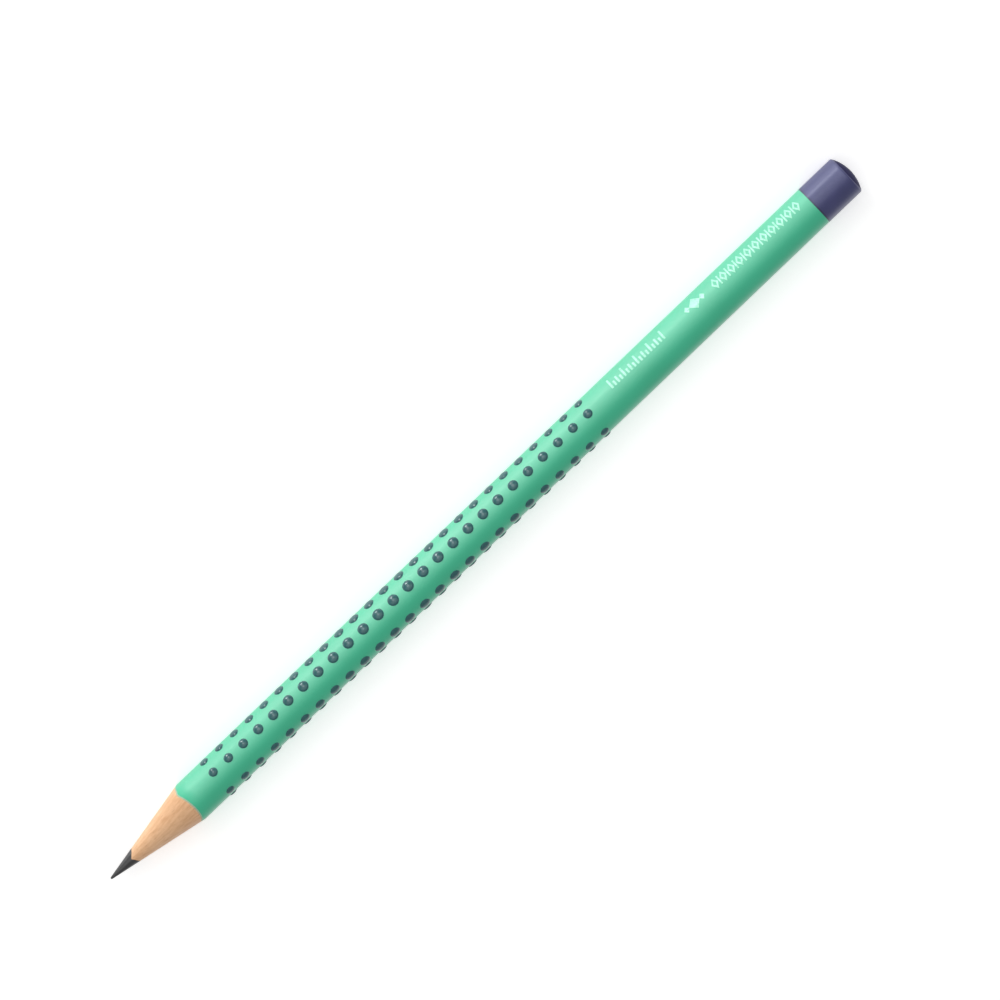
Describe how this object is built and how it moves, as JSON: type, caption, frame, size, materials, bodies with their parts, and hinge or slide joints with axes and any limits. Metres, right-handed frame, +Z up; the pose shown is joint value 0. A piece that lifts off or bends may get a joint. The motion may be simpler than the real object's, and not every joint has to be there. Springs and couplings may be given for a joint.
{
  "type": "graphite pencil",
  "caption": "Sharpened graphite pencil with a rounded triangular barrel, raised rubber grip dots and a dipped end cap.",
  "frame": {"origin": "under the middle of the pencil's length, on the surface that it lies on", "axes": "+X along the pencil towards its point, +Z up through one rounded corner, so that one flat side faces down; +Y to the left when looking along +X"},
  "size_m": [0.175, 0.0082, 0.0078],
  "materials": {
    "basswood": "bare sharpened wood, fine straight grain",
    "wood_glue": "thin dried glue line",
    "graphite": "graphite and clay with a soft grey sheen",
    "primer": "pale undercoat, matt",
    "mint_lacquer": "smooth mint green lacquer, satin gloss",
    "violet_dip": "dark blue-violet dipped lacquer, gloss",
    "grip_rubber": "soft dusky blue-green rubbery lacquer, low domes",
    "pale_foil": "pale mint hot-pressed foil"
  },
  "bodies": {
    "root": {"dip_cap": "violet_dip", "foil_band_mark": "pale_foil", "foil_emblem_mark": "pale_foil", "foil_scale_mark": "pale_foil", "glue_film": "wood_glue", "graphite_core": "graphite", "grip_dots_side_left": "grip_rubber", "grip_dots_side_right": "grip_rubber", "grip_dots_top_left": "grip_rubber", "grip_dots_top_right": "grip_rubber", "grip_dots_under_left": "grip_rubber", "grip_dots_under_right": "grip_rubber", "lacquer_coat": "mint_lacquer", "primer_coat": "primer", "slat_lower": "basswood", "slat_upper": "basswood"}
  },
  "joints": []
}
